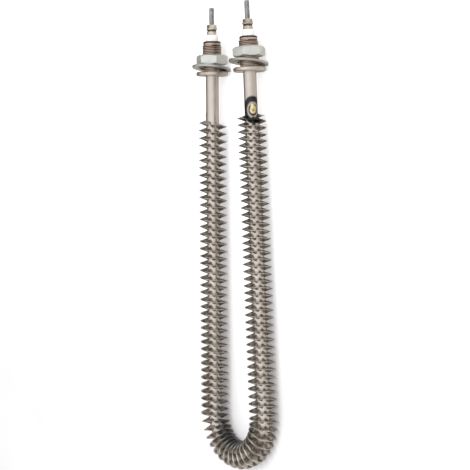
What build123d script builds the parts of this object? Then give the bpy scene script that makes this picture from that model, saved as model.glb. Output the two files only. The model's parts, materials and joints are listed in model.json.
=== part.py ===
"""Finned tubular heating element: a U of sheathed heating tube with a crimped fin strip wound on it.

The element lies flat. The legs of the U run along Y, side by side along X, with the two threaded
bushings and the terminal studs at the +Y end. It touches the ground, z = 0, with the rims of its
two loose washers. The origin is on the ground, under the middle of the whole element.
"""

import os
from math import cos, pi, radians, sin, sqrt

from build123d import *

# ---- The U -------------------------------------------------------------------------------------
bend_radius = 36.0              # centre line of the bend
toe_in = 1.5                    # degrees that each leg leans towards the other
leg_length = 313.4              # start of the bend to the underside of the bushing's collar

# ---- Sheath tube -------------------------------------------------------------------------------
tube_diameter = 12.0
tube_wall = 0.8

# ---- Fin strip: one crimped ribbon, wound on edge as a left-hand helix ---------------------------
strip_diameter = 26.0           # over the rim
strip_thickness = 0.4
strip_turns = 99.7              # whole panels only, so within a twelfth of a turn
strip_waves = 6                 # crimps round the root in each turn
strip_start = 52.0              # degrees from the outer side, over the top, to the left end
crimp_height = 4.8              # a crimp's height along the tube at the root; the rim is plain
strip_clearance = 0.4           # root corners to the tube, so that the flats between clear it
# The strip was fed by hand, so its pitch drifts. The turns gain on an even pitch by these shares of
# the strip's run: over the whole strip, against each other on the two halves, and near the ends.
pitch_drift = 0.045
pitch_tilt = -0.022
pitch_ends = 0.042
bare_left = 43.4                # bare tube between the collar and the strip
bare_right = 39.4

# ---- Threaded bushing --------------------------------------------------------------------------
# A free thread has its major diameter, and a thread inside a nut has its pitch diameter.
bushing_thread = 18.0           # M18 x 1.5
bushing_pitch_diameter = 17.03
bushing_length = 32.0           # with its collar
bushing_tip_diameter = 16.2     # turned down to the root of the thread
bushing_tip_length = 4.0
bushing_tip_chamfer = 0.8
collar_diameter = 29.5
collar_thickness = 4.0
collar_rounding = 1.4
braze_clearance = 0.05          # brazed faces, such as the bushing's bore round the tube

# ---- Lock nut and loose washer on each bushing ---------------------------------------------------
lock_nut_flats = 26.0
lock_nut_thickness = 9.0
lock_nut_gap_left = 6.4         # collar to the underside of the nut, room for washer and panel
lock_nut_gap_right = 9.5
lock_nut_turn_left = 9.0       # degrees, as each nut happens to stand
lock_nut_turn_right = 32.0
thread_clearance = 0.05         # nut to thread
washer_diameter = 36.0
washer_hole = 20.5
washer_thickness = 2.0
washer_lean = 8.0               # degrees, lower rim towards the bend
washer_play = 0.25              # thread to the edge of the hole that it hangs in
washer_slack_left = 0.1         # leaning washer to the collar
washer_slack_right = 1.5

# ---- Terminals -------------------------------------------------------------------------------------
stud_thread = 5.0               # M5, rolled, so the shank has the thread's pitch diameter
stud_shank_diameter = 4.48
stud_shank_rise = 0.2           # the shank's size goes on this far above the top nut
stud_free_left = 15.8           # thread that stands free above the top nut
stud_free_right = 17.3
stud_tip_rounding = 1.2
stud_reach = 8.0                # from under the strip's end further into the tube
stud_in_coil = 8.0              # overlap of stud and heating coil
insulator_diameter = 11.4
insulator_height = 6.0          # outside the tube
insulator_spigot = 5.0          # inside the tube
insulator_clearance = 0.1
insulator_rounding = 0.8
seal_length = 8.0
terminal_nut_flats = 8.0
terminal_nut_thickness = 3.3
terminal_nut_turns = {"lower": 8.0, "upper": 25.0}      # degrees
terminal_washer_diameter = 10.0
terminal_washer_thickness = 1.4
lock_washer_diameter = 8.4
lock_washer_thickness = 1.5
lock_washer_split = 0.8

# ---- Inside the sheath -----------------------------------------------------------------------------
coil_thickness = 0.6            # the wound resistance wire, as a plain sleeve
packing_clearance = 0.05

# ---- Welds that hold the strip's ends --------------------------------------------------------------
weld_length = 8.0               # along the tube
weld_width = 6.5                # round the tube
weld_bearing = 70               # degrees from the top of the tube to its outer side
weld_height = 1.1

# ---- Worked out ------------------------------------------------------------------------------------
SIDES = {"left": -1, "right": 1}
tube_radius = tube_diameter / 2
bore_radius = tube_radius - tube_wall
strip_radius = strip_diameter / 2
thread_radius = bushing_thread / 2
washer_radius = washer_diameter / 2
engaged_radius = bushing_pitch_diameter / 2
stud_radius = stud_thread / 2
shank_radius = stud_shank_diameter / 2
bend_angle = 180 + 2 * toe_in

collar_top = leg_length + collar_thickness
bushing_tip = leg_length + bushing_length
stack_base = bushing_tip + insulator_height
stack_height = 2 * terminal_nut_thickness + lock_washer_thickness + terminal_washer_thickness
stack_top = stack_base + stack_height
stud_tip = {"left": stack_top + stud_free_left, "right": stack_top + stud_free_right}
strip_end = {"left": leg_length - bare_left, "right": leg_length - bare_right}
lock_nut_gap = {"left": lock_nut_gap_left, "right": lock_nut_gap_right}
lock_nut_turn = {"left": lock_nut_turn_left, "right": lock_nut_turn_right}
washer_slack = {"left": washer_slack_left, "right": washer_slack_right}

# The thread hangs in the washer's hole, and the washer stands on its rim on the ground.
lean = radians(washer_lean)
half_washer = washer_thickness / 2
washer_rise = washer_hole / 2 * cos(lean) - half_washer * sin(lean) - thread_radius - washer_play
axis_height = washer_radius * cos(lean) + half_washer * sin(lean) - washer_rise

# The centre of the bend is placed so that the origin is under the middle of the element.
reach_up = bend_radius * sin(radians(toe_in)) + max(stud_tip.values()) * cos(radians(toe_in))
reach_down = bend_radius + strip_radius
bend_centre = Vector(0, (reach_down - reach_up) / 2, axis_height)


def leg_plane(side, station, turn=0):
    """Plane across a leg that faces the terminals, at a station measured from the bend.

    Its x direction is up, or turned from up round the leg.
    """
    slant = radians(toe_in)
    out = Vector(SIDES[side] * cos(slant), sin(slant), 0)
    along = Vector(-SIDES[side] * sin(slant), cos(slant), 0)
    up = Vector(0, 0, 1)
    start = up * cos(radians(turn)) + along.cross(up) * sin(radians(turn))
    origin = bend_centre + out * bend_radius + along * station
    return Plane(origin, x_dir=start, z_dir=along)


def profile_plane(plane):
    """Plane through a leg's axis: x outwards from the axis, y along the leg."""
    return Plane(plane.origin, x_dir=plane.x_dir, z_dir=-plane.y_dir)


def rod(plane, radius, length, bore=0):
    """A round rod, or a tube if it has a bore, that stands on a plane across a leg."""
    with BuildPart() as part:
        with BuildSketch(plane):
            Circle(radius)
            if bore:
                Circle(bore, mode=Mode.SUBTRACT)
        extrude(amount=length)
    return part.part


def u_rod(radius, ends, bore=0):
    """A round rod or tube that follows the U between one station on each leg."""
    with BuildPart() as part:
        for side, end in ends.items():
            add(rod(leg_plane(side, 0), radius, end, bore))
        with BuildSketch(leg_plane("left", 0)):
            Circle(radius)
            if bore:
                Circle(bore, mode=Mode.SUBTRACT)
        revolve(axis=Axis(bend_centre, (0, 0, 1)), revolution_arc=bend_angle)
    return part.part


def hex_nut(plane, flats, thickness, bore):
    """A hexagon nut that stands on a plane, with its corners turned off at 30 degrees."""
    corner = flats / sqrt(3)
    shoulder = flats / 2 * 0.96
    drop = (corner - shoulder) / sqrt(3)
    with BuildPart() as nut:
        with BuildSketch(plane):
            RegularPolygon(flats / 2, 6, major_radius=False)
            Circle(bore, mode=Mode.SUBTRACT)
        extrude(amount=thickness)
        with BuildSketch(profile_plane(plane)):
            with BuildLine():
                Polyline(
                    (0, 0), (shoulder, 0), (corner, drop), (corner, thickness - drop),
                    (shoulder, thickness), (0, thickness), close=True,
                )
            make_face()
        revolve(axis=Axis(plane.origin, plane.z_dir), mode=Mode.INTERSECT)
    return nut.part


def write(piece, name):
    """Label a finished piece and write its STEP file."""
    piece.part.label = name
    export_step(piece.part, f"parts/{name}.step")
    print(f"{name:26s} {piece.part.volume:11.1f} mm3")


os.makedirs("parts", exist_ok=True)

# ---- Sheath tube -----------------------------------------------------------------------------------
with BuildPart() as sheath_tube:
    add(u_rod(tube_radius, {side: bushing_tip for side in SIDES}, bore_radius))
write(sheath_tube, "sheath_tube")

# ---- Fin strip -------------------------------------------------------------------------------------
# Each turn has two flat panels for each crimp, between sections of four corners. The root corners
# stand to one side of the helix and to the other in turn, and the rim corners follow it plainly.
left_run = strip_end["left"]
bend_run = bend_radius * radians(bend_angle)
strip_run = left_run + bend_run + strip_end["right"]
panels_in_turn = 2 * strip_waves
panel_count = round(strip_turns * panels_in_turn)


def wound_point(run, radius, angle):
    """Point beside the U's centre line, at a run along it from the left end of the strip."""
    round_bend = min(max(run - left_run, 0), bend_run)
    past_bend = run - left_run - round_bend
    heading = pi - radians(toe_in) + round_bend / bend_radius
    out = Vector(cos(heading), sin(heading), 0)
    along = Vector(-sin(heading), cos(heading), 0)
    centre = bend_centre + out * bend_radius + along * past_bend
    return centre + (out * cos(angle) + Vector(0, 0, 1) * sin(angle)) * radius


def strip_section(count):
    """The four corners of the strip's section, after a count of panels from its left end."""
    share = count / panel_count
    half_way = 1 - 2 * share
    gain = pitch_drift + pitch_tilt * half_way + pitch_ends * half_way**2
    run = strip_run * (share + gain * share * (1 - share))
    angle = radians(strip_start) + 2 * pi * count / panels_in_turn
    crimp = crimp_height / 2 * (-1) ** (count + 1)
    half = strip_thickness / 2
    root = tube_radius + strip_clearance
    return [
        wound_point(run + crimp - half, root, angle),
        wound_point(run + crimp + half, root, angle),
        wound_point(run + half, strip_radius, angle),
        wound_point(run - half, strip_radius, angle),
    ]


sections = [strip_section(count) for count in range(panel_count + 1)]
strip_faces = [Face(Wire.make_polygon(ends)) for ends in (sections[0], sections[-1])]
for here, there in zip(sections, sections[1:]):
    for corner in range(4):
        following = (corner + 1) % 4
        first = [here[corner], here[following], there[following]]
        second = [here[corner], there[following], there[corner]]
        strip_faces += [Face(Wire.make_polygon(first)), Face(Wire.make_polygon(second))]

with BuildPart() as fin_strip:
    add(Solid(Shell(strip_faces)), clean=False)
write(fin_strip, "fin_strip")

# ---- Heating coil and filling ----------------------------------------------------------------------
# Wire coil wound on the inner ends of the studs, with magnesia pressed round it and inside it.
stud_root = {side: end - stud_reach for side, end in strip_end.items()}
coil_bore = shank_radius + packing_clearance
coil_radius = coil_bore + coil_thickness
coil_end = {side: root + stud_in_coil for side, root in stud_root.items()}
filling_end = bushing_tip - insulator_spigot - seal_length

with BuildPart() as heating_coil:
    add(u_rod(coil_radius, coil_end, coil_bore))
write(heating_coil, "heating_coil")

with BuildPart() as magnesia_filling:
    add(u_rod(bore_radius - packing_clearance, {side: filling_end for side in SIDES}))
    channel_end = {side: end + packing_clearance for side, end in coil_end.items()}
    add(u_rod(coil_radius + packing_clearance, channel_end), mode=Mode.SUBTRACT)
    for side in SIDES:
        add(rod(leg_plane(side, 0), coil_bore, filling_end), mode=Mode.SUBTRACT)
    core_end = {side: root - packing_clearance for side, root in stud_root.items()}
    add(u_rod(shank_radius, core_end))
write(magnesia_filling, "magnesia_filling")

# ---- Pieces of each leg ----------------------------------------------------------------------------
for side in SIDES:
    with BuildPart() as terminal_stud:
        with BuildSketch(leg_plane(side, stud_root[side])):
            Circle(shank_radius)
        thread_base = stack_top + stud_shank_rise
        extrude(amount=thread_base - stud_root[side])
        with BuildSketch(leg_plane(side, thread_base)):
            Circle(stud_radius)
        extrude(amount=stud_tip[side] - thread_base)
        along_stud = Axis(leg_plane(side, 0).origin, leg_plane(side, 0).z_dir)
        tip_edge = terminal_stud.edges().filter_by(GeomType.CIRCLE).sort_by(along_stud)[-1]
        fillet(tip_edge, radius=min(stud_tip_rounding, 0.9 * stud_radius))
    write(terminal_stud, f"terminal_stud_{side}")

    nut_base = collar_top + lock_nut_gap[side]
    with BuildPart() as threaded_bushing:
        with BuildSketch(leg_plane(side, leg_length)):
            Circle(collar_diameter / 2)
        extrude(amount=collar_thickness)
        rim_edges = threaded_bushing.edges().filter_by(GeomType.CIRCLE)
        fillet(rim_edges, radius=min(collar_rounding, 0.45 * collar_thickness))
        with BuildSketch(leg_plane(side, collar_top)):
            Circle(thread_radius)
        extrude(amount=bushing_length - collar_thickness - bushing_tip_length)
        with BuildSketch(leg_plane(side, nut_base)):
            Circle(thread_radius)
            Circle(engaged_radius, mode=Mode.SUBTRACT)
        extrude(amount=lock_nut_thickness, mode=Mode.SUBTRACT)
        with BuildSketch(leg_plane(side, bushing_tip - bushing_tip_length)):
            Circle(bushing_tip_diameter / 2)
        extrude(amount=bushing_tip_length)
        tip_edge = threaded_bushing.edges().filter_by(GeomType.CIRCLE).sort_by(along_stud)[-1]
        chamfer(tip_edge, length=bushing_tip_chamfer)
        with BuildSketch(leg_plane(side, leg_length)):
            Circle(tube_radius + braze_clearance)
        extrude(amount=bushing_length, mode=Mode.SUBTRACT)
    write(threaded_bushing, f"threaded_bushing_{side}")

    with BuildPart() as lock_nut:
        nut_plane = leg_plane(side, nut_base, lock_nut_turn[side])
        nut_bore = engaged_radius + thread_clearance
        add(hex_nut(nut_plane, lock_nut_flats, lock_nut_thickness, nut_bore))
    write(lock_nut, f"lock_nut_{side}")

    with BuildPart() as flat_washer:
        washer_foot = collar_diameter / 2 * sin(lean) + half_washer * cos(lean)
        washer_station = collar_top + washer_foot + washer_slack[side]
        middle = leg_plane(side, washer_station).origin + Vector(0, 0, washer_rise)
        facing = Vector(0, cos(lean), -sin(lean))
        washer_plane = Plane(middle, x_dir=(1, 0, 0), z_dir=facing).offset(-half_washer)
        with BuildSketch(washer_plane):
            Circle(washer_radius)
            Circle(washer_hole / 2, mode=Mode.SUBTRACT)
        extrude(amount=washer_thickness)
    write(flat_washer, f"flat_washer_{side}")

    with BuildPart() as ceramic_insulator:
        with BuildSketch(leg_plane(side, bushing_tip)):
            Circle(insulator_diameter / 2)
        extrude(amount=insulator_height)
        rim_edges = ceramic_insulator.edges().filter_by(GeomType.CIRCLE).sort_by(along_stud)
        fillet(rim_edges[-1], radius=insulator_rounding)
        with BuildSketch(leg_plane(side, bushing_tip - insulator_spigot)):
            Circle(bore_radius - insulator_clearance)
        extrude(amount=insulator_spigot)
        with BuildSketch(leg_plane(side, bushing_tip - insulator_spigot)):
            Circle(shank_radius + insulator_clearance)
        extrude(amount=insulator_spigot + insulator_height, mode=Mode.SUBTRACT)
    write(ceramic_insulator, f"ceramic_insulator_{side}")

    with BuildPart() as end_seal:
        seal_plane = leg_plane(side, filling_end)
        add(rod(seal_plane, bore_radius - packing_clearance, seal_length, coil_bore))
    write(end_seal, f"end_seal_{side}")

    # The terminal's stack: lower nut, split lock washer, plain washer and upper nut.
    terminal_nut_bore = shank_radius + thread_clearance
    terminal_washer_bore = stud_radius + thread_clearance
    lock_washer_base = stack_base + terminal_nut_thickness
    plain_washer_base = lock_washer_base + lock_washer_thickness
    upper_nut_base = plain_washer_base + terminal_washer_thickness

    for place, base in (("lower", stack_base), ("upper", upper_nut_base)):
        with BuildPart() as terminal_nut:
            nut_plane = leg_plane(side, base, terminal_nut_turns[place])
            nut_thickness = terminal_nut_thickness
            add(hex_nut(nut_plane, terminal_nut_flats, nut_thickness, terminal_nut_bore))
        write(terminal_nut, f"{place}_terminal_nut_{side}")

    with BuildPart() as lock_washer:
        with BuildSketch(leg_plane(side, lock_washer_base)):
            Circle(lock_washer_diameter / 2)
            Circle(terminal_washer_bore, mode=Mode.SUBTRACT)
            with Locations((lock_washer_diameter / 2, 0)):
                Rectangle(lock_washer_diameter, lock_washer_split, mode=Mode.SUBTRACT)
        extrude(amount=lock_washer_thickness)
    write(lock_washer, f"lock_washer_{side}")

    with BuildPart() as terminal_washer:
        washer_base = leg_plane(side, plain_washer_base)
        radius = terminal_washer_diameter / 2
        add(rod(washer_base, radius, terminal_washer_thickness, terminal_washer_bore))
    write(terminal_washer, f"terminal_washer_{side}")

    # The bead lies beside the outermost crimp of the strip, on the outer side of the leg.
    with BuildPart() as strip_weld:
        weld_foot = tube_radius + braze_clearance
        weld_start = strip_end[side] + crimp_height / 2 + strip_thickness
        bead_angle = 360 * weld_width / (2 * pi * tube_radius)
        weld_turn = weld_bearing * SIDES[side] - bead_angle / 2
        bead_plane = leg_plane(side, weld_start + weld_length / 2, weld_turn)
        with BuildSketch(profile_plane(bead_plane)):
            with BuildLine():
                foot, peak = (weld_foot, weld_length / 2), (weld_foot + weld_height, 0)
                bead = ThreePointArc(foot, peak, (weld_foot, -weld_length / 2))
                Line(bead @ 1, bead @ 0)
            make_face()
        revolve(axis=Axis(bead_plane.origin, bead_plane.z_dir), revolution_arc=bead_angle)
    write(strip_weld, f"strip_weld_{side}")
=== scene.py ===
# %% [markdown]
# # A finned tubular heating element
#
# The real object is a steel tube bent to a U, with a thin steel ribbon wound on edge round it. The
# ribbon's inner edge is crimped into folds, because the inner edge of a wound ribbon has to be
# shorter than its rim. This lesson dresses the measured model: every piece keeps its place and its
# size, and gets the rounded edges, threads and metal finishes that the plain solids lack.

# %% Load the measured model
import json
import math
import random

import bmesh
import bpy
from mathutils import Matrix, Vector


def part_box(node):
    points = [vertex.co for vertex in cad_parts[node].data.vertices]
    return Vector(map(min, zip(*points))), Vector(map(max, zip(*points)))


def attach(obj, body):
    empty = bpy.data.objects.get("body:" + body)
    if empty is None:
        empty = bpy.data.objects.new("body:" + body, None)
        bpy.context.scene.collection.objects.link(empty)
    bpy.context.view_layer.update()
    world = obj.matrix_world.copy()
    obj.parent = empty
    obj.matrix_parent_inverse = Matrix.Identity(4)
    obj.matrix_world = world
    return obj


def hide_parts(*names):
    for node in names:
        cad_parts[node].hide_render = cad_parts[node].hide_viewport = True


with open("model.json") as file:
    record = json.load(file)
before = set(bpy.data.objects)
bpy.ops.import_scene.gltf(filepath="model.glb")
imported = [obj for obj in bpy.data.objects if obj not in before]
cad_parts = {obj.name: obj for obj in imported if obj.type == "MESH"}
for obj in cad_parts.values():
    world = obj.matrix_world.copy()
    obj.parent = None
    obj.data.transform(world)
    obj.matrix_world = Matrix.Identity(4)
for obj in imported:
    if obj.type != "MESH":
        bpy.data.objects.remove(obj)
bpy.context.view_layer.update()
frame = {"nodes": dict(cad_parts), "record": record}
MM = 0.001
SIDES = {"left": -1, "right": 1}
mounts = {mount["name"]: mount for mount in frame["record"]["mounts"]}

# %% [markdown]
# ## Where the legs and the bend are
#
# Two things are enough to know the whole U: the box round the tube gives the bend, and the mount on
# a bushing gives the lean of the legs. The numbers could be typed in again, but reading them from the
# model keeps every new piece on its seat. A place on a leg is then a single number, the station: how
# far along the leg it lies, measured from the end of the bend.

# %% Centre line of the U
TUBE_RADIUS = 6.0 * MM
UP = Vector((0, 0, 1))
tube_low, tube_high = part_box("sheath_tube")
bend_radius = (tube_high.x - tube_low.x) / 2 - TUBE_RADIUS
bend_centre = Vector((0, tube_low.y + TUBE_RADIUS + bend_radius, (tube_low.z + tube_high.z) / 2))
toe_in = math.atan2(-mounts["bushing_right"]["axis"][0], mounts["bushing_right"]["axis"][1])
bend_angle = math.pi + 2 * toe_in


def leg_direction(side):
    """The direction of a leg, towards its terminal."""
    return Vector((-SIDES[side] * math.sin(toe_in), math.cos(toe_in), 0))


def leg_point(side, station):
    """A point on a leg's centre line, at a station measured from the bend."""
    out = Vector((SIDES[side] * math.cos(toe_in), math.sin(toe_in), 0))
    return bend_centre + out * bend_radius + leg_direction(side) * station


def station_of(side, point):
    """How far along a leg a point lies."""
    return (Vector(point) - leg_point(side, 0)).dot(leg_direction(side))


def leg_matrix(side, station):
    """Places a piece made round the Z axis on a leg, with its X axis up."""
    along = leg_direction(side)
    axes = Matrix((UP, along.cross(UP), along)).transposed().to_4x4()
    return Matrix.Translation(leg_point(side, station)) @ axes


print("bend radius", round(bend_radius / MM, 2), "mm, toe-in", round(math.degrees(toe_in), 2))

# %% [markdown]
# ## Camera
#
# The element lies flat and the camera looks down on it from the right leg's side, with the terminals
# at the top of the picture. A long lens from far away keeps the two legs nearly the same width. The
# camera could be turned by three angles, but its three axes say more: one looks back from the
# element, one is level with the picture's bottom edge, and the third follows from those two.

# %% Camera
CAMERA_AZIMUTH = math.radians(92.31)
CAMERA_ELEVATION = math.radians(38.16)
CAMERA_ROLL = math.radians(-1.4)
CAMERA_DISTANCE = 1392 * MM
CAMERA_LENS = 116.17
CAMERA_TARGET = Vector((0.46, 1.83, 17.0)) * MM
SENSOR_WIDTH = 36.0
ALONG_LEGS = Vector((0, 1, 0))

camera_back = Vector((
    math.sin(CAMERA_AZIMUTH) * math.cos(CAMERA_ELEVATION),
    -math.cos(CAMERA_AZIMUTH) * math.cos(CAMERA_ELEVATION),
    math.sin(CAMERA_ELEVATION),
))
level = ALONG_LEGS.cross(camera_back).normalized()
upright = camera_back.cross(level)
camera_right = level * math.cos(CAMERA_ROLL) + upright * math.sin(CAMERA_ROLL)
camera_up = camera_back.cross(camera_right)
camera_axes = Matrix((camera_right, camera_up, camera_back)).transposed().to_4x4()
camera = bpy.data.objects.new("camera", bpy.data.cameras.new("camera"))
bpy.context.scene.collection.objects.link(camera)
camera.matrix_world = Matrix.Translation(CAMERA_TARGET + camera_back * CAMERA_DISTANCE) @ camera_axes
camera.data.sensor_width = SENSOR_WIDTH
camera.data.lens = CAMERA_LENS
camera.data.clip_start = 0.05
camera.data.clip_end = 20
bpy.context.scene.camera = camera
print("camera at", [round(v, 3) for v in camera.matrix_world.translation], "m")

# %% [markdown]
# ## Helpers for pieces
#
# Each piece is shaped in a bmesh, moved to its place inside its mesh, and then stands for the plain
# solid of the same name. Faces could be left flat, or made small enough to look round. Smooth
# shading with sharp edges above an angle is cheaper: it gives turned parts their round look and
# leaves corners crisp.

# %% Finish a piece and attach it to the body
SMOOTH_ANGLE = math.radians(32)


def finish_piece(bm, name, nodes, material, outward=True):
    """Turn a bmesh into an object that rides on the body and replaces its plain solids."""
    if outward:
        bmesh.ops.recalc_face_normals(bm, faces=bm.faces)
    mesh = bpy.data.meshes.new(name)
    bm.to_mesh(mesh)
    bm.free()
    mesh.polygons.foreach_set("use_smooth", [True] * len(mesh.polygons))
    mesh.set_sharp_from_angle(angle=SMOOTH_ANGLE)
    piece = bpy.data.objects.new(name, mesh)
    bpy.context.scene.collection.objects.link(piece)
    piece.data.materials.append(material)
    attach(piece, "root")
    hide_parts(*nodes)
    print(f"{name}: {len(mesh.polygons)} faces")
    return piece


print("edges sharper than", round(math.degrees(SMOOTH_ANGLE)), "degrees stay crisp")

# %% [markdown]
# ## Helpers for materials
#
# Every finish below is a small network of nodes that ends in a Principled shader. One function adds
# any node, with its settings, values, links and colour stops, so each network reads as a short
# list. Colours are written as they look on a screen and turned to the linear values of the shader.
#
# Real metal is never one even tone. Pictures of metal could be wrapped on the pieces, but they need
# unwrapping and have a seam. Noise in space needs neither: clouds are patches of a given size in mm,
# and a finish lets a fine grain drive both its roughness and a slight bump, as wear does.

# %% Material helpers
MIX_FACTOR, MIX_FIRST, MIX_SECOND, MIX_RESULT = 0, 6, 7, 2  # the Mix node's sockets for colours
PATCHES_IN_CLOUD = 0.5  # a noise scale of 1 draws patches about half a metre wide
CLOUD_LOW, CLOUD_HIGH = 0.3, 0.7  # most of a cloud's values lie between these


def srgb(code):
    """A colour written as an sRGB hex code, turned to the linear values that the shader takes."""
    channels = [int(code[i:i + 2], 16) / 255 for i in (1, 3, 5)]
    linear = [c / 12.92 if c <= 0.04045 else ((c + 0.055) / 1.055) ** 2.4 for c in channels]
    return (*linear, 1.0)


def add_node(tree, kind, values=None, links=None, stops=(), output=None, **settings):
    """Add a shader node and return it, or one of its outputs; a colour is a hex code."""
    node = tree.nodes.new(kind)
    for key, value in settings.items():
        setattr(node, key, value)
    for socket, value in (values or {}).items():
        node.inputs[socket].default_value = srgb(value) if isinstance(value, str) else value
    for socket, source in (links or {}).items():
        tree.links.new(source, node.inputs[socket])
    for _ in stops[2:]:
        node.color_ramp.elements.new(0.5)
    for element, (position, code) in zip(node.color_ramp.elements if stops else (), stops):
        element.position = position
        element.color = srgb(code)
    return node if output is None else node.outputs[output]


def new_material(name):
    """An empty node material; returns it, its tree and where a shaded point lies in the piece."""
    material = bpy.data.materials.new(name)
    material.use_nodes = True
    material.node_tree.nodes.clear()
    tree = material.node_tree
    return material, tree, add_node(tree, "ShaderNodeTexCoord", output="Object")


def clouds(tree, place, size_mm, stretch=(1, 1, 1), detail=3.0):
    """A cloudy pattern between 0 and 1, with patches of about a size in mm."""
    pulled = add_node(tree, "ShaderNodeMapping", {"Scale": stretch}, {"Vector": place}, output="Vector")
    values = {"Scale": PATCHES_IN_CLOUD / (size_mm * MM), "Detail": detail}
    return add_node(tree, "ShaderNodeTexNoise", values, {"Vector": pulled}, output="Fac")


def finish(tree, colour, grain, roughness, bump_mm, metallic=1.0):
    """End a network: a roughness between two values that follows the grain, and a bump from it."""
    rough = add_node(
        tree, "ShaderNodeMapRange",
        {"From Min": CLOUD_LOW, "From Max": CLOUD_HIGH, "To Min": roughness[0],
         "To Max": roughness[1]},
        {"Value": grain}, output="Result",
    )
    bump = add_node(
        tree, "ShaderNodeBump", {"Strength": 1.0, "Distance": bump_mm * MM}, {"Height": grain},
        output="Normal",
    )
    shader = add_node(
        tree, "ShaderNodeBsdfPrincipled", {"Metallic": metallic},
        {"Base Color": colour, "Roughness": rough, "Normal": bump}, output="BSDF",
    )
    add_node(tree, "ShaderNodeOutputMaterial", links={"Surface": shader})
    print("finish with", len(tree.nodes), "nodes")


def worn(name, stops, roughness, grain_mm, bump_mm, metallic=1.0):
    """A plain worn surface: its colour drifts in clouds, and a finer grain gives the bump."""
    material, tree, place = new_material(name)
    drift = clouds(tree, place, 3 * grain_mm, detail=4.0)
    colour = add_node(tree, "ShaderNodeValToRGB", links={"Fac": drift}, stops=stops, output="Color")
    finish(tree, colour, clouds(tree, place, grain_mm), roughness, bump_mm, metallic)
    return material


print("the middle grey #808080 is", round(srgb("#808080")[0], 3), "in linear light")

# %% [markdown]
# ## The burn round a braze
#
# The strip's end was brazed to the right leg, and the flame left a mark in rings: burnt flux at the
# bead, a pale ring, then a dark patch that fades out. A painted image could show it, but here the
# burn is a distance from the bead, turned into colours by a ramp. So it lies right on both the tube
# and the strip, and clouds bend its edge.

# %% Burnt patch
BURN_SLIDE = 2 * MM
BURN_DRIFT = 2 * MM
BURN_LENGTHENED = 0.75
TUBE_BURN_REACH = 14 * MM
STRIP_BURN_REACH = 17 * MM
weld_low, weld_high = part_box("strip_weld_right")
burn_centre = (weld_low + weld_high) / 2 - leg_direction("right") * BURN_SLIDE
EVEN = Vector((1, 1, 1))


def burn(tree, place, base, stops, reach):
    """The base colour, covered by a burn near the right leg's bead that fades out at its edge."""
    drift = add_node(
        tree, "ShaderNodeVectorMath", {1: EVEN * BURN_DRIFT}, {0: clouds(tree, place, 4)},
        output="Vector", operation="MULTIPLY",
    )
    shifted = add_node(
        tree, "ShaderNodeVectorMath", links={0: place, 1: drift}, output="Vector", operation="ADD",
    )
    from_bead = add_node(
        tree, "ShaderNodeVectorMath", {1: burn_centre + EVEN * BURN_DRIFT / 2}, {0: shifted},
        output="Vector", operation="SUBTRACT",
    )
    squeezed = add_node(
        tree, "ShaderNodeVectorMath", {1: (1 / reach, BURN_LENGTHENED / reach, 1 / reach)},
        {0: from_bead}, output="Vector", operation="MULTIPLY",
    )
    distance = add_node(
        tree, "ShaderNodeVectorMath", links={0: squeezed}, output="Value", operation="LENGTH",
    )
    cover = add_node(
        tree, "ShaderNodeValToRGB", links={"Fac": distance}, output="Color",
        stops=[(0.0, "#FFFFFF"), (0.64, "#FFFFFF"), (0.72, "#404040"), (0.95, "#000000")],
    )
    rings = add_node(
        tree, "ShaderNodeValToRGB", links={"Fac": distance}, stops=stops, output="Color",
    )
    return add_node(
        tree, "ShaderNodeMix", links={MIX_FACTOR: cover, MIX_FIRST: base, MIX_SECOND: rings},
        output=MIX_RESULT, data_type="RGBA",
    )


print("burn round", [round(v / MM, 1) for v in burn_centre], "mm")

# %% [markdown]
# ## Sheath steel
#
# The sheath is drawn stainless tube: a warm grey metal, smooth, with faint scratches that run along
# the legs. The scratches could be a picture wrapped round the tube. Here they are clouds pulled out
# along the legs, which need no unwrapping and no picture.

# %% Sheath steel
# Drawn stainless steel. Its two warm greys keep the tube from looking like chrome, and its
# scratches break the long highlight into streaks. Real ones are a few hundredths of a millimetre
# wide, too fine to show, so they are drawn 0.9 mm wide.
PULLED_ALONG_LEGS = (1, 0.05, 1)
drawn_stainless, tree, place = new_material("drawn_stainless_tube")
steel = add_node(
    tree, "ShaderNodeValToRGB", links={"Fac": clouds(tree, place, 14)},
    stops=[(0.3, "#D8CFC6"), (0.7, "#EBE3DB")], output="Color",
)
flame_rings = [
    (0.0, "#5A4530"), (0.28, "#5A4530"), (0.32, "#C4C1BD"), (0.38, "#B8B5B2"), (0.42, "#47464A"),
    (0.62, "#3A3A3C"), (0.72, "#8C8078"),
]
burnt_sheath = burn(tree, place, steel, flame_rings, TUBE_BURN_REACH)
scratches = clouds(tree, place, 0.9, stretch=PULLED_ALONG_LEGS)
finish(tree, burnt_sheath, scratches, (0.26, 0.36), 0.006)
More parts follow.
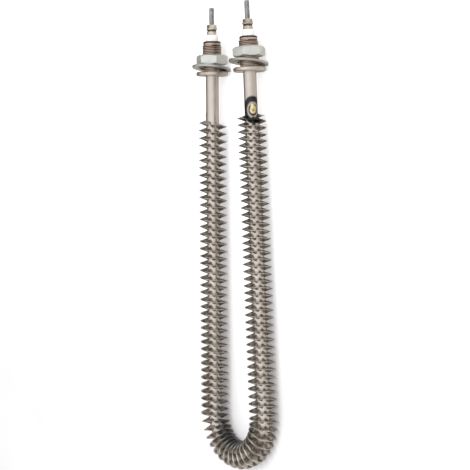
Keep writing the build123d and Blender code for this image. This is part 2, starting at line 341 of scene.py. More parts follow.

# %% [markdown]
# ## Strip steel
#
# The ribbon is thin steel, with a painted highlight along its rim and a painted shade in the folds next
# to the tube. The difference could come from a distance to the tube, but the tube is bent. So each
# vertex carries a number, its tone, from 0 at the root to 1 at the rim, and a ramp turns that to a
# colour.

# %% Strip steel
# Crimped steel strip. A painted highlight on the rim draws each turn as a fine line, a painted shade
# darkens the roots, and the patches, about 5 mm wide, make neighbouring turns differ a little. Inside
# the bend the turns stand close and see mostly each other, so a painted blue-grey shade covers them
# there.
SHADE_FROM, SHADE_TO = 24 * MM, 34 * MM
SHADE_DEPTH = 0.85
crimped_strip, tree, place = new_material("crimped_steel_strip")
tone = add_node(tree, "ShaderNodeAttribute", output="Fac", attribute_name="tone")
# A ramp by tone: a painted shade at the root and a painted highlight along the rim.
rim_highlight_and_root_shade = add_node(
    tree, "ShaderNodeValToRGB", links={"Fac": tone}, output="Color",
    stops=[(0.0, "#C8C3BD"), (0.35, "#D8D3CD"), (0.8, "#DAD6D0"), (0.97, "#FAF6F0")],
)
patches = add_node(
    tree, "ShaderNodeValToRGB", links={"Fac": clouds(tree, place, 5)}, output="Color",
    stops=[(0.3, "#CFCBC7"), (0.7, "#FFFEFC")],
)
patched_rim_highlight_and_root_shade = add_node(
    tree, "ShaderNodeMix", {MIX_FACTOR: 1.0}, {MIX_FIRST: rim_highlight_and_root_shade, MIX_SECOND: patches},
    output=MIX_RESULT, data_type="RGBA", blend_type="MULTIPLY",
)
# A painted blue-grey shade inside the bend, where the turns stand close and hide each other.
from_bend = add_node(
    tree, "ShaderNodeVectorMath", {1: bend_centre}, {0: place}, output="Value",
    operation="DISTANCE",
)
inside_bend = add_node(
    tree, "ShaderNodeMapRange",
    {"From Min": SHADE_FROM, "From Max": SHADE_TO, "To Min": SHADE_DEPTH, "To Max": 0.0},
    {"Value": from_bend}, output="Result",
)
shaded_strip = add_node(
    tree, "ShaderNodeMix", {MIX_SECOND: "#858C94"},
    {MIX_FACTOR: inside_bend, MIX_FIRST: patched_rim_highlight_and_root_shade}, output=MIX_RESULT, data_type="RGBA",
)
soot = [(0.0, "#2E2C2E"), (0.5, "#343234"), (0.7, "#6A625C")]
burnt_strip = burn(tree, place, shaded_strip, soot, STRIP_BURN_REACH)
finish(tree, burnt_strip, clouds(tree, place, 1.5), (0.34, 0.5), 0.03)

# %% [markdown]
# ## Bushing steel
#
# The bushing went through the brazing furnace: its collar stayed pale, its thread turned brown with
# pale crests and grooves darkened further by a painted shade, and its tip is dark. That could be
# three materials, but then each border would have to follow an edge between faces. One material
# reads the tone of each vertex instead, so the colours run into each other in the thread.

# %% Bushing steel
# Furnace-browned steel. The brown oxide and a painted shade lie in the thread's grooves, so each
# crest shows as a pale line, and clouds about 4 mm wide give the collar the uneven bloom of heated
# steel.
browned_steel, tree, place = new_material("furnace_browned_steel")
tone = add_node(tree, "ShaderNodeAttribute", output="Fac", attribute_name="tone")
# Its darkest thread colours are brown oxide deepened by a painted shade in the grooves.
heat = add_node(
    tree, "ShaderNodeValToRGB", links={"Fac": tone}, output="Color",
    stops=[(0.0, "#4A4446"), (0.2, "#62554E"), (0.3, "#766860"), (0.7, "#EFDACA"), (1.0, "#F2EBE3")],
)
bloom = add_node(
    tree, "ShaderNodeValToRGB", links={"Fac": clouds(tree, place, 4)}, output="Color",
    stops=[(0.3, "#D6CEC8"), (0.7, "#FFFFFF")],
)
browned = add_node(
    tree, "ShaderNodeMix", {MIX_FACTOR: 1.0}, {MIX_FIRST: heat, MIX_SECOND: bloom},
    output=MIX_RESULT, data_type="RGBA", blend_type="MULTIPLY",
)
finish(tree, browned, clouds(tree, place, 1.0), (0.3, 0.42), 0.01)

# %% [markdown]
# ## Plated and plain pieces
#
# The other pieces each have one plain finish: zinc or nickel plate, spring steel, turned steel,
# brass braze, fired or pressed ceramic, and rubber. They could share one material with other
# colours, but the real ones differ as much in gloss and grain. So each gets its own colours, its
# own roughness, and a grain whose size and depth are given in mm.

# %% Plated and plain pieces
# Zinc plate: a cool, nearly white metal with a soft gloss, so the big nuts look chalky.
zinc_plate = worn(
    "zinc_plated_steel", [(0.35, "#F0F4F0"), (0.65, "#FDFFFC")], (0.5, 0.65), 1.5, 0.01,
)
# Dull zinc: greyer and smoother, so the loose washers mirror the room in broad soft bands.
dull_zinc = worn(
    "dull_zinc_plated_washer", [(0.3, "#BFBDB9"), (0.7, "#E2E1DD")], (0.36, 0.5), 2.0, 0.02,
)
# Nickel plate: yellow-grey where it is thin and pale where it is thick, with sharp glints.
nickel_plate = worn(
    "tarnished_nickel_plate", [(0.3, "#B9AE9E"), (0.7, "#F2E9DA")], (0.28, 0.42), 1.0, 0.01,
)
# Spring steel painted dark as a shade: a dark line of painted shade between the pale nut and the pale
# washer.
spring_steel_shade_dark = worn(
    "spring_steel_painted_shade_dark", [(0.3, "#5A5346"), (0.7, "#7C7467")], (0.3, 0.45), 0.8, 0.01,
)
# Bright steel: a neutral grey whose wide range makes the thread's crests sparkle.
bright_steel = worn(
    "bright_steel_stud", [(0.3, "#A6A6A6"), (0.7, "#E0E0E0")], (0.26, 0.42), 0.6, 0.01,
)
# Brass braze: gold that goes from brown flux to a pale wet shine, with deep, frozen ripples.
braze = worn(
    "brass_braze_bead", [(0.38, "#94692C"), (0.5, "#E6D096"), (0.62, "#FDF4D0")], (0.18, 0.4),
    0.6, 0.15,
)
# Oxidised resistance wire: a dark, matt grey.
resistance_wire = worn(
    "oxidised_resistance_wire", [(0.3, "#3C3A38"), (0.7, "#5A5652")], (0.4, 0.6), 0.5, 0.1,
)
# Steatite: a dense white ceramic with the faint gloss of an unglazed fired surface.
steatite = worn(
    "white_steatite", [(0.3, "#FAF7F3"), (0.7, "#FFFEFC")], (0.3, 0.45), 0.8, 0.005, metallic=0.0,
)
# Pressed magnesia: a chalky, dead matt white. Its powder is finer than the 0.3 mm drawn here.
magnesia = worn(
    "pressed_magnesia", [(0.3, "#E4E1DA"), (0.7, "#F2F0EA")], (0.8, 0.95), 0.3, 0.03, metallic=0.0,
)
# Silicone: a warm grey with a satin skin.
silicone = worn(
    "silicone_end_seal", [(0.3, "#B8B3A8"), (0.7, "#CFCABF")], (0.4, 0.6), 1.0, 0.02, metallic=0.0,
)

# %% [markdown]
# ## Sheath tube
#
# The real sheath is a straight tube that was bent round a former. It could be a swept curve. Here a
# ring of points is extruded down the left leg, spun round the bend and extruded up the right leg,
# because a spin gives a true arc of even faces. A second, smaller ring gives the bore, and bridges
# between the two close the ends.

# %% Sheath tube
TUBE_WALL = 0.8 * MM
TUBE_SIDES = 64
BEND_STEPS = 72
COLLAR_UNDERSIDE = 313.4 * MM
BUSHING_LENGTH = 32.0 * MM
tube_end = COLLAR_UNDERSIDE + BUSHING_LENGTH


def only(kind, geometry):
    """The vertices, edges or faces in the mixed list that an operator gives back."""
    return [item for item in geometry if isinstance(item, kind)]


def extruded(bm, edges, move):
    """Extrude a loop of edges by a move, and return the new loop."""
    made = bmesh.ops.extrude_edge_only(bm, edges=edges)["geom"]
    bmesh.ops.translate(bm, vec=move, verts=only(bmesh.types.BMVert, made))
    return only(bmesh.types.BMEdge, made)


def sheath_tube():
    """Outer skin, inner skin and the two end faces of the tube."""
    bm = bmesh.new()
    for radius in (TUBE_RADIUS, TUBE_RADIUS - TUBE_WALL):
        ring = bmesh.ops.create_circle(bm, radius=radius, segments=TUBE_SIDES, cap_ends=False)["verts"]
        bmesh.ops.transform(bm, matrix=leg_matrix("left", tube_end), verts=ring)
        loop = list(dict.fromkeys(edge for vert in ring for edge in vert.link_edges))
        loop = extruded(bm, loop, leg_direction("left") * -tube_end)
        made = bmesh.ops.spin(
            bm, geom=loop, cent=bend_centre, axis=UP, dvec=(0, 0, 0), angle=bend_angle,
            space=Matrix(), steps=BEND_STEPS, use_merge=False, use_duplicate=False,
        )["geom_last"]
        extruded(bm, only(bmesh.types.BMEdge, made), leg_direction("right") * tube_end)
    rims = [edge for edge in bm.edges if edge.is_boundary]
    for side in SIDES:
        ends = [
            edge for edge in rims
            if abs(station_of(side, edge.verts[0].co) - tube_end) < MM
            and edge.verts[0].co.x * SIDES[side] > 0
        ]
        bmesh.ops.bridge_loops(bm, edges=ends)
    return bm


finish_piece(sheath_tube(), "sheath_tube_drawn", ["sheath_tube"], drawn_stainless)

# %% [markdown]
# ## Crimped fin strip
#
# The strip could be modelled as a hundred separate discs, but a real one is a single helix, and the
# eye sees that at its two ends. So a short radial row of points is spun with a lift at each step,
# which makes a straight ribbon screw. One spin of all hundred turns is slow, because each step looks
# through everything made so far. So ten turns are spun once, and copies are stacked on them.

# %% Ribbon screw
STRIP_RADIUS = 13.0 * MM
STRIP_ROOT = 6.25 * MM
STRIP_WAVES = 6
STRIP_ROWS = 5
STEPS_IN_TURN = 72
TURNS_AT_ONCE = 10
STRIP_TURNS = round(99.7 * 2 * STRIP_WAVES) / (2 * STRIP_WAVES)
MERGE_GAP = 0.001 * MM
FULL_TURN = 2 * math.pi


def ribbon_screw():
    """A flat ribbon wound on edge, one unit of height to a turn, with radii as on the strip."""
    bm = bmesh.new()
    row = [
        bm.verts.new((STRIP_ROOT + (STRIP_RADIUS - STRIP_ROOT) * i / STRIP_ROWS, 0, 0))
        for i in range(STRIP_ROWS + 1)
    ]
    edges = [bm.edges.new(pair) for pair in zip(row, row[1:])]
    bmesh.ops.spin(
        bm, geom=row + edges, cent=(0, 0, 0), axis=UP, dvec=(0, 0, 1 / STEPS_IN_TURN),
        angle=FULL_TURN * TURNS_AT_ONCE, space=Matrix(), steps=TURNS_AT_ONCE * STEPS_IN_TURN,
        use_merge=False, use_duplicate=False,
    )
    first_turns = bm.verts[:] + bm.edges[:] + bm.faces[:]
    for count in range(1, math.ceil(STRIP_TURNS / TURNS_AT_ONCE)):
        copied = only(bmesh.types.BMVert, bmesh.ops.duplicate(bm, geom=first_turns)["geom"])
        bmesh.ops.translate(bm, vec=(0, 0, count * TURNS_AT_ONCE), verts=copied)
    bmesh.ops.remove_doubles(bm, verts=bm.verts, dist=MERGE_GAP)
    spare = [vert for vert in bm.verts if vert.co.z > STRIP_TURNS + 0.01 / STEPS_IN_TURN]
    bmesh.ops.delete(bm, geom=spare, context="VERTS")
    return bm


strip_mesh = ribbon_screw()
print("ribbon of", round(STRIP_TURNS, 2), "turns,", len(strip_mesh.faces), "faces")

# %% [markdown]
# ## Uneven turns
#
# A machine winds the strip, but handling pushes its turns about, and even spacing would look like a
# spring from a catalogue. The pitch drifts slowly along the strip, long waves sway it, and each turn
# has its own small shift and lean. The random numbers start from a fixed seed, so the strip comes
# out the same each time.

# %% Uneven turns
PITCH_DRIFT, PITCH_TILT, PITCH_ENDS = 0.045, -0.022, 0.042
SWAY_WAVES = 6
SWAY_RATE = (2, 9)
SWAY_CIRCLE = 6.3  # about one full circle, in radians
SWAY_MM = (0.05, 0.16)
SHIFT_MM = 0.16
LEAN_MM = 0.35
turns_with_spare = math.ceil(STRIP_TURNS) + 2
uneven = random.Random(7)
sway = [
    (uneven.uniform(*SWAY_RATE), uneven.uniform(0, SWAY_CIRCLE), uneven.uniform(*SWAY_MM) * MM)
    for _ in range(SWAY_WAVES)
]
turn_shift = [uneven.uniform(-SHIFT_MM, SHIFT_MM) * MM for _ in range(turns_with_spare)]
turn_lean = [uneven.uniform(-LEAN_MM, LEAN_MM) * MM for _ in range(turns_with_spare)]
turn_bearing = [uneven.uniform(0, FULL_TURN) for _ in range(turns_with_spare)]


def between(values, turn):
    """A value between two neighbouring turns' values."""
    low = int(turn)
    share = turn - low
    return values[low] * (1 - share) + values[low + 1] * share


print("turns shift by up to", round(max(map(abs, turn_shift)) / MM, 2), "mm")

# %% [markdown]
# ## Follow the U
#
# Now the straight screw is laid on the U. A curve modifier could bend it, but it would squeeze the
# crimps on the inside of the bend. Instead, each point moves by its own sum: its height along the
# screw becomes a run along the U, and near the root the crimp pushes it to one side or the other. At
# the end each point is held inside the measured box of the strip, which moves a few of them by a
# tenth of a millimetre, and a Solidify modifier gives the ribbon its thickness.

# %% Follow the U
STRIP_THICKNESS = 0.4 * MM
STRIP_START = math.radians(52)
CRIMP_HEIGHT = 4.8 * MM
CRIMP_STEEPNESS = 1.7
BARE = {"left": 43.4 * MM, "right": 39.4 * MM}
BOX_INSET = 0.12 * MM
bend_run = bend_radius * bend_angle
strip_end = {side: COLLAR_UNDERSIDE - bare for side, bare in BARE.items()}
strip_run = strip_end["left"] + bend_run + strip_end["right"]
strip_low, strip_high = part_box("fin_strip")
strip_low = strip_low + EVEN * BOX_INSET
strip_high = strip_high - EVEN * BOX_INSET


def crimp(angle):
    """The meander of the root: flat tops joined by steep flanks, between -1 and 1."""
    return max(-1.0, min(1.0, -CRIMP_STEEPNESS * math.cos(STRIP_WAVES * angle)))


def wound_point(run, radius, angle):
    """A point beside the centre line of the U, at a run from the left end of the strip."""
    round_bend = min(max(run - strip_end["left"], 0), bend_run)
    past_bend = run - strip_end["left"] - round_bend
    heading = math.pi - toe_in + round_bend / bend_radius
    out = Vector((math.cos(heading), math.sin(heading), 0))
    along = Vector((-math.sin(heading), math.cos(heading), 0))
    centre = bend_centre + out * bend_radius + along * past_bend
    return centre + (out * math.cos(angle) + UP * math.sin(angle)) * radius


def wind_on_u(bm):
    """Move each point of the straight screw to its place on the crimped strip."""
    tone = bm.verts.layers.float.new("tone")
    for vert in bm.verts:
        turn = min(max(vert.co.z, 0), STRIP_TURNS)
        radius = math.hypot(vert.co.x, vert.co.y)
        winding = FULL_TURN * turn
        angle = STRIP_START + winding
        share = turn / STRIP_TURNS
        half_way = 1 - 2 * share
        gain = PITCH_DRIFT + PITCH_TILT * half_way + PITCH_ENDS * half_way**2
        depth = (STRIP_RADIUS - radius) / (STRIP_RADIUS - STRIP_ROOT)
        lean = between(turn_lean, turn) * math.cos(angle - turn_bearing[int(turn)])
        run = strip_run * (share + gain * share * (1 - share))
        run += sum(size * math.sin(rate * share * SWAY_CIRCLE + phase) for rate, phase, size in sway)
        run += between(turn_shift, turn)
        run += lean * (1 - depth)
        run += CRIMP_HEIGHT / 2 * crimp(winding) * depth
        point = wound_point(run, radius, angle)
        vert.co = [max(low, min(high, value)) for low, value, high in zip(strip_low, point, strip_high)]
        vert[tone] = 1 - depth


wind_on_u(strip_mesh)
fin_strip = finish_piece(strip_mesh, "fin_strip_crimped", ["fin_strip"], crimped_strip)
wall = fin_strip.modifiers.new("strip_thickness", "SOLIDIFY")
wall.thickness = STRIP_THICKNESS
wall.offset = 0

# %% [markdown]
# ## Screw threads
#
# A thread is a ridge that climbs one pitch in each turn. A groove could be cut from a full cylinder,
# but that needs a slow boolean cut and leaves ragged ends. Here a small flat face, spun round the
# axis with a lift at each step, makes the ridge as one closed coil, and it sits on a core that is
# turned to the root of the thread.

# %% Turn and thread
FOOT_SHARE = 0.47
LAND_SHARE = 0.14
SUNK_IN_CORE = 0.05 * MM


def turned(bm, outline, sides=64):
    """Turn an outline of radii and heights round the Z axis, closed if it starts off the axis."""
    verts = [bm.verts.new((radius, 0, height)) for radius, height in outline]
    edges = [bm.edges.new(pair) for pair in zip(verts, verts[1:])]
    if outline[0][0] > 0:
        edges.append(bm.edges.new((verts[-1], verts[0])))
    bmesh.ops.spin(
        bm, geom=verts + edges, cent=(0, 0, 0), axis=UP, dvec=(0, 0, 0), angle=FULL_TURN,
        space=Matrix(), steps=sides, use_merge=True, use_duplicate=False,
    )
    bmesh.ops.remove_doubles(bm, verts=bm.verts, dist=MERGE_GAP)


def add_thread(bm, root, crest, pitch, low, high, steps):
    """A helical ridge round the Z axis between two heights, closed at both ends."""
    foot = pitch * FOOT_SHARE
    land = pitch * LAND_SHARE
    sunk = root - SUNK_IN_CORE
    start = low + pitch / 2
    corners = [(sunk, -foot), (crest, -land), (crest, land), (sunk, foot)]
    verts = [bm.verts.new((radius, 0, start + height)) for radius, height in corners]
    face = bm.faces.new(verts)
    turns = (high - low) / pitch - 1
    count = round(turns * steps)
    bmesh.ops.spin(
        bm, geom=[face], cent=(0, 0, 0), axis=UP, dvec=(0, 0, pitch / steps),
        angle=FULL_TURN * count / steps, space=Matrix(), steps=count, use_merge=False,
        use_duplicate=False,
    )
    print("thread of", round(turns, 1), "turns")


def arc_points(centre_radius, centre_height, size, start, end, count=6):
    """Points on a quarter round of an outline, between two angles in degrees."""
    steps = [math.radians(start + (end - start) * i / count) for i in range(count + 1)]
    return [(centre_radius + size * math.cos(a), centre_height + size * math.sin(a)) for a in steps]


# %% [markdown]
# ## Threaded bushings
#
# Each bushing is turned from bar: a collar with a rounded rim, an M18 thread and a tip that is
# turned down to the thread's root. It could be put together from cylinders, but one outline gives
# the whole body without seams, and the ridge gives the thread. Two close rows of points stand at
# each border of tone, so that the colour changes there in a line and not over the whole tip.

# %% Bushings
THREAD_RADIUS = 9.0 * MM
THREAD_ROOT = 8.1 * MM
THREAD_PITCH = 1.5 * MM
THREAD_STEPS = 64
THREAD_START = 0.4 * MM
THREAD_RUNOUT = 0.6 * MM
CREST_DEPTH = 0.1 * MM
TIP_LENGTH = 4.0 * MM
TIP_ROUNDING = 0.8 * MM
DARK_TIP = 1.6 * MM
BORDER = 0.1 * MM
COLLAR_RADIUS = 14.75 * MM
COLLAR_THICKNESS = 4.0 * MM
COLLAR_ROUNDING = 1.4 * MM
BORE_RADIUS = 6.05 * MM
BORE_BEVEL = 0.3 * MM
shoulder = BUSHING_LENGTH - TIP_LENGTH + THREAD_RUNOUT
dark_from = BUSHING_LENGTH - DARK_TIP


def bushing_tone(point):
    """Pale on the collar, brown in the thread with pale crests and a painted shade in its grooves, dark
    at the tip's edge.
    """
    if point.z < COLLAR_THICKNESS + BORDER / 10:
        return 1.0
    if point.z > dark_from:
        return 0.0
    if point.z > shoulder + BORDER / 2:
        return 0.65
    return 0.75 if math.hypot(point.x, point.y) > THREAD_RADIUS - CREST_DEPTH else 0.25


def bushing():
    """A bushing that stands on the XY plane, with its tip up."""
    rim = COLLAR_RADIUS - COLLAR_ROUNDING
    tip = BUSHING_LENGTH - TIP_ROUNDING
    outline = [(BORE_RADIUS, 0.0)]
    outline += arc_points(rim, COLLAR_ROUNDING, COLLAR_ROUNDING, -90, 0)
    outline += arc_points(rim, COLLAR_THICKNESS - COLLAR_ROUNDING, COLLAR_ROUNDING, 0, 90)
    rows = [COLLAR_THICKNESS, shoulder, shoulder + BORDER, dark_from - BORDER, dark_from + BORDER]
    outline += [(THREAD_ROOT, height) for height in rows]
    outline += arc_points(THREAD_ROOT - TIP_ROUNDING, tip, TIP_ROUNDING, 0, 90, 4)
    outline += [(BORE_RADIUS + BORE_BEVEL, BUSHING_LENGTH), (BORE_RADIUS, BUSHING_LENGTH - BORE_BEVEL)]
    bm = bmesh.new()
    turned(bm, outline)
    start = COLLAR_THICKNESS + THREAD_START
    add_thread(bm, THREAD_ROOT, THREAD_RADIUS, THREAD_PITCH, start, shoulder, THREAD_STEPS)
    tone = bm.verts.layers.float.new("tone")
    for vert in bm.verts:
        vert[tone] = bushing_tone(vert.co)
    return bm


for side in SIDES:
    bm = bushing()
    bmesh.ops.transform(bm, matrix=leg_matrix(side, COLLAR_UNDERSIDE), verts=bm.verts)
    node = f"threaded_bushing_{side}"
    finish_piece(bm, node + "_turned", [node], browned_steel)

# %% [markdown]
# ## Terminal studs
#
# The stud is a plain pin inside the tube and an M5 thread outside. Only the free end shows, but the
# pin is made too, because it carries the current down to the coil. The same two tools as for the
# bushing make it: an outline turned round the axis, and a ridge.

# %% Studs
STUD_RADIUS = 2.5 * MM
STUD_ROOT = 2.07 * MM
STUD_PITCH = 0.8 * MM
STUD_STEPS = 24
STUD_SIDES = 32
SHANK_RADIUS = 2.24 * MM
SHANK_STEP = 0.02 * MM
STUD_PAST_STRIP = 8.0 * MM
TIP_PAST_THREAD = 1.2 * MM
STUD_ROUNDING = 1.0 * MM
BARE_TIP = 0.5 * MM
for side in SIDES:
    mount = mounts[f"stud_{side}"]
    middle = station_of(side, mount["pos_m"])
    half = mount["dims"]["length_mm"] / 2 * MM
    inner_end = strip_end[side] - STUD_PAST_STRIP
    foot = middle - half - inner_end
    tip = middle + half + TIP_PAST_THREAD - inner_end
    outline = [(0, 0), (SHANK_RADIUS, 0), (SHANK_RADIUS, foot), (STUD_ROOT, foot + SHANK_STEP)]
    outline += [(STUD_ROOT, tip - STUD_ROUNDING)]
    outline += arc_points(STUD_ROOT - STUD_ROUNDING, tip - STUD_ROUNDING, STUD_ROUNDING, 0, 90, 5)
    outline += [(0, tip)]
    bm = bmesh.new()
    turned(bm, outline, STUD_SIDES)
    add_thread(bm, STUD_ROOT, STUD_RADIUS, STUD_PITCH, foot, tip - BARE_TIP, STUD_STEPS)
    bmesh.ops.transform(bm, matrix=leg_matrix(side, inner_end), verts=bm.verts)
    node = f"terminal_stud_{side}"
    finish_piece(bm, node + "_threaded", [node], bright_steel)

# %% [markdown]
# ## Nuts, washers and insulators
#
# These solids already have their true form. Making them again would only add chances to be wrong, so
# a copy of each solid has its loose triangles merged, its flat faces joined and every crease bevelled
# a little, as stamping, plating and firing leave them. Then the edges catch the light.

# %% Rounded copies
FLAT_ANGLE = math.radians(1)
CREASE_ANGLE = 0.45


def rounded_copy(node, edge_radius, material):
    """A copy of a plain solid with its creases rounded, in place of the solid."""
    bm = bmesh.new()
    bm.from_mesh(frame["nodes"][node].data)
    bmesh.ops.remove_doubles(bm, verts=bm.verts, dist=2 * MERGE_GAP)
    bmesh.ops.dissolve_limit(bm, angle_limit=FLAT_ANGLE, verts=bm.verts, edges=bm.edges)
    creases = [edge for edge in bm.edges if edge.is_manifold and edge.calc_face_angle() > CREASE_ANGLE]
    bmesh.ops.bevel(
        bm, geom=creases, offset=edge_radius, offset_type="OFFSET", affect="EDGES", segments=2,
        profile=0.5, material=-1, clamp_overlap=True,
    )
    return finish_piece(bm, node + "_finished", [node], material, outward=False)


for side in SIDES:
    rounded_copy(f"lock_nut_{side}", 0.55 * MM, zinc_plate)
    rounded_copy(f"flat_washer_{side}", 0.25 * MM, dull_zinc)
    rounded_copy(f"lower_terminal_nut_{side}", 0.25 * MM, nickel_plate)
    rounded_copy(f"upper_terminal_nut_{side}", 0.25 * MM, nickel_plate)
    rounded_copy(f"lock_washer_{side}", 0.15 * MM, spring_steel_shade_dark)
    rounded_copy(f"terminal_washer_{side}", 0.15 * MM, nickel_plate)
    rounded_copy(f"ceramic_insulator_{side}", 0.15 * MM, steatite)

# %% [markdown]
# ## Brazed beads
#
# Each end of the strip is held by a bead of brass braze that flowed and froze, so no two are alike.
# A bevelled block would look machined. Here a round body is pushed in and out by a few wide waves,
# flattened, and sunk into the tube, and then every point drops as much as the tube curves away below
# it, so that the bead hugs the tube as a melt does.

# %% Beads
BEAD_LENGTH = 10.2 * MM
BEAD_WIDTH = 6.4 * MM
BEAD_HEIGHT = 1.2 * MM
BEAD_SHIFT = 1.1 * MM
BEAD_SUNK = 0.15 * MM
BEAD_WAVES = 5
WAVE_RATE = (2, 4)
WAVE_PHASE = (0, 6)
LUMP_HEIGHT = 0.16
melted = random.Random(21)
for side in SIDES:
    weld_low, weld_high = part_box(f"strip_weld_{side}")
    centre = (weld_low + weld_high) / 2
    along = leg_direction(side)
    spoke = centre - leg_point(side, station_of(side, centre))
    spoke = (spoke - along * spoke.dot(along)).normalized()
    across = along.cross(spoke)
    bm = bmesh.new()
    bmesh.ops.create_uvsphere(bm, u_segments=40, v_segments=24, radius=1.0)
    waves = [
        (melted.uniform(*WAVE_RATE), melted.uniform(*WAVE_RATE), melted.uniform(*WAVE_PHASE))
        for _ in range(BEAD_WAVES)
    ]
    for vert in bm.verts:
        lump = sum(math.sin(a * vert.co.x + b * vert.co.y + c) for a, b, c in waves) / BEAD_WAVES
        vert.co *= 1 + LUMP_HEIGHT * lump
    seat = leg_point(side, station_of(side, centre) - BEAD_SHIFT) + spoke * (TUBE_RADIUS - BEAD_SUNK)
    axes = Matrix((across, along, spoke)).transposed().to_4x4()
    size = Matrix.Diagonal((BEAD_WIDTH / 2, BEAD_LENGTH / 2, BEAD_HEIGHT, 1))
    bmesh.ops.transform(bm, matrix=Matrix.Translation(seat) @ axes @ size, verts=bm.verts)
    for vert in bm.verts:
        arm = vert.co - leg_point(side, station_of(side, vert.co))
        sideways = arm - spoke * arm.dot(spoke)
        drop = TUBE_RADIUS - math.sqrt(max(TUBE_RADIUS**2 - sideways.length**2, 0))
        vert.co -= spoke * drop
    finish_piece(bm, f"strip_weld_{side}_bead", [f"strip_weld_{side}"], braze)

# %% [markdown]
# ## Pieces inside the tube
#
# The coil, the magnesia and the seals stay hidden. They could keep the plain grey of the solids, but
# then a cut through the element would look wrong. So they keep their solids and get true finishes.

# %% Hidden pieces
hidden = {"heating_coil": resistance_wire, "magnesia_filling": magnesia}
hidden |= {f"end_seal_{side}": silicone for side in SIDES}
for node, material in hidden.items():
    solid = frame["nodes"][node]
    solid.data.materials.clear()
    solid.data.materials.append(material)
    print(node, "is", material.name)

# %% [markdown]
# ## Floor
#
# The element rests on the rims of its washers and on the fins of the bend, which stand less far from
# its axis. So it leans by a fraction of a degree. Turning the element would take its pieces off
# their measured places, so the floor leans instead.

# %% Floor
RIM_SHARE = 0.1
FLOOR_HALF = 1.6
FLOOR_GAP = 0.02 * MM
washer_low, washer_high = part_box("flat_washer_left")
rim_y = washer_low.y + (washer_high.y - washer_low.y) * RIM_SHARE
floor_slope = (bend_centre.z - STRIP_RADIUS) / (rim_y - (bend_centre.y - bend_radius))
bm = bmesh.new()
bmesh.ops.create_grid(bm, x_segments=1, y_segments=1, size=FLOOR_HALF)
for vert in bm.verts:
    vert.co.z = (rim_y - vert.co.y) * floor_slope - FLOOR_GAP
mesh = bpy.data.meshes.new("floor")
bm.to_mesh(mesh)
bm.free()
floor = bpy.data.objects.new("floor", mesh)
bpy.context.scene.collection.objects.link(floor)
print("floor leans by", round(math.degrees(math.atan(floor_slope)), 2), "degrees")

# %% [markdown]
# ## White table
#
# The table should look plain white with a soft shadow near the bend. White paint alone comes out
# grey, and more lamps would wash out the metal. So the camera sees the paint plus a glow that grows
# from the bend to the terminals. Mirror rays see a darker paint and only a small lit strip under the
# element, as they would meet the room's dark parts, which keeps the metal from going flat.

# %% White table
# White painted board. Its paint takes the shadow, and its colour drifts so little that the eye reads
# it as clean; the drift is 40 mm wide, far coarser than paint's own texture, which wouldn't show.
GLOW_AT_BEND = 0.12
GLOW_AT_TERMINALS = 0.5
GLOW_FROM_Y, GLOW_TO_Y = -160 * MM, 100 * MM
MIRRORED_GLOW = 0.08
MIRRORED_FROM, MIRRORED_TO = 50 * MM, 200 * MM
white_table, tree, place = new_material("white_table")
ray = add_node(tree, "ShaderNodeLightPath")
split = add_node(tree, "ShaderNodeSeparateXYZ", links={"Vector": place})
white = add_node(
    tree, "ShaderNodeValToRGB", links={"Fac": clouds(tree, place, 40)},
    stops=[(0.3, "#F1F1F3"), (0.7, "#F6F6F8")], output="Color",
)
paint_colour = add_node(
    tree, "ShaderNodeMix", {MIX_SECOND: "#B9B5B1"},
    {MIX_FACTOR: ray.outputs["Is Glossy Ray"], MIX_FIRST: white}, output=MIX_RESULT,
    data_type="RGBA",
)
paint = add_node(tree, "ShaderNodeBsdfDiffuse", links={"Color": paint_colour}, output="BSDF")
sideways = add_node(
    tree, "ShaderNodeMath", links={0: split.outputs["X"]}, output="Value", operation="ABSOLUTE",
)
strip_light = add_node(
    tree, "ShaderNodeMapRange",
    {"From Min": MIRRORED_FROM, "From Max": MIRRORED_TO, "To Min": MIRRORED_GLOW, "To Max": 0.0},
    {"Value": sideways}, output="Result",
)
mirrored = add_node(
    tree, "ShaderNodeMath", links={0: ray.outputs["Is Glossy Ray"], 1: strip_light},
    output="Value", operation="MULTIPLY",
)
table_light = add_node(
    tree, "ShaderNodeMapRange",
    {"From Min": GLOW_FROM_Y, "From Max": GLOW_TO_Y, "To Min": GLOW_AT_BEND,
     "To Max": GLOW_AT_TERMINALS},
    {"Value": split.outputs["Y"]}, output="Result",
)
strength = add_node(
    tree, "ShaderNodeMath", links={0: ray.outputs["Is Camera Ray"], 1: table_light, 2: mirrored},
    output="Value", operation="MULTIPLY_ADD",
)
glow = add_node(
    tree, "ShaderNodeEmission", {"Color": "#FFFFFF"}, {"Strength": strength}, output="Emission",
)
both = add_node(tree, "ShaderNodeAddShader", links={0: paint, 1: glow}, output="Shader")
add_node(tree, "ShaderNodeOutputMaterial", links={"Surface": both})
floor.data.materials.append(white_table)
print("white table with", len(tree.nodes), "nodes")

# %% [markdown]
# ## Soft box
#
# A sun lamp would draw a hard shadow under each turn. One big square lamp, high up on the right
# leg's side, gives a soft one. Its own mirror image would be a hard white patch on each round piece,
# so mirror rays pass it by.

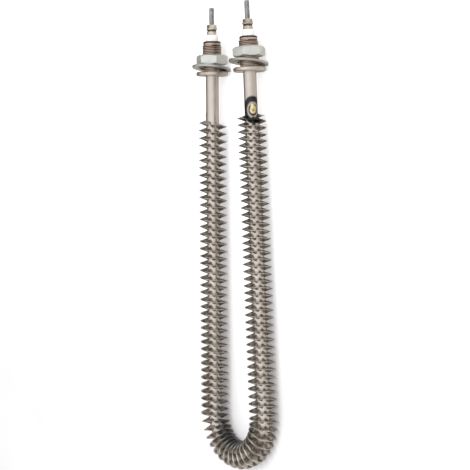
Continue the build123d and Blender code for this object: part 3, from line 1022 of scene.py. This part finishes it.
# %% Soft box
LAMP_PLACE = Vector((0.75, 0.3, 1.3))
LAMP_AIM = Vector((0, 0.05, 0))
lamp = bpy.data.lights.new("top_box", "AREA")
lamp.size = 1.0
lamp.energy = 13.5
top_box = bpy.data.objects.new("top_box", lamp)
bpy.context.scene.collection.objects.link(top_box)
top_box.location = LAMP_PLACE
top_box.rotation_mode = "QUATERNION"
top_box.rotation_quaternion = (LAMP_AIM - LAMP_PLACE).to_track_quat("-Z", "Y")
top_box.visible_glossy = False
print("lamp of", lamp.energy, "W,", round((LAMP_AIM - LAMP_PLACE).length, 2), "m away")

# %% [markdown]
# ## Light tent
#
# Metal looks like what it mirrors, so the room matters more than the lamp. The room could be a
# picture wrapped round the scene, but a ramp is enough: white at the top, which is tilted a little,
# and darker down to the horizon, which gives round pieces their dark sides. One faint grey stripe
# near the top draws fine lines along the tube. The camera sees plain white instead of the room.

# %% Light tent
TENT_TILT = math.radians(22)
tent_top = (math.sin(TENT_TILT), 0, math.cos(TENT_TILT))
world = bpy.data.worlds.new("light_tent")
bpy.context.scene.world = world
world.use_nodes = True
tree = world.node_tree
tree.nodes.clear()
ray = add_node(tree, "ShaderNodeLightPath")
view = add_node(tree, "ShaderNodeTexCoord", output="Generated")
height = add_node(
    tree, "ShaderNodeVectorMath", {1: tent_top}, {0: view}, output="Value",
    operation="DOT_PRODUCT",
)
cloth = add_node(
    tree, "ShaderNodeValToRGB", links={"Fac": height}, output="Color",
    stops=[(0.0, "#5F5C59"), (0.2, "#7C7874"), (0.4, "#D2CFCC"), (0.72, "#EDECEB"), (0.93, "#FFFFFF")],
)
stripe = add_node(
    tree, "ShaderNodeValToRGB", links={"Fac": height}, output="Color",
    stops=[(0.0, "#FFFFFF"), (0.81, "#FFFFFF"), (0.845, "#CDC9C5"), (0.88, "#FFFFFF"), (1.0, "#FFFFFF")],
)
striped = add_node(
    tree, "ShaderNodeMix", {MIX_FACTOR: 1.0}, {MIX_FIRST: cloth, MIX_SECOND: stripe},
    output=MIX_RESULT, data_type="RGBA", blend_type="MULTIPLY",
)
shown = add_node(
    tree, "ShaderNodeMix", {MIX_SECOND: "#FFFFFF"},
    {MIX_FACTOR: ray.outputs["Is Camera Ray"], MIX_FIRST: striped}, output=MIX_RESULT,
    data_type="RGBA",
)
room = add_node(
    tree, "ShaderNodeBackground", {"Strength": 1.0}, {"Color": shown}, output="Background",
)
add_node(tree, "ShaderNodeOutputWorld", links={"Surface": room})
bpy.context.scene.view_settings.view_transform = "Standard"
print("light tent with", len(tree.nodes), "nodes")
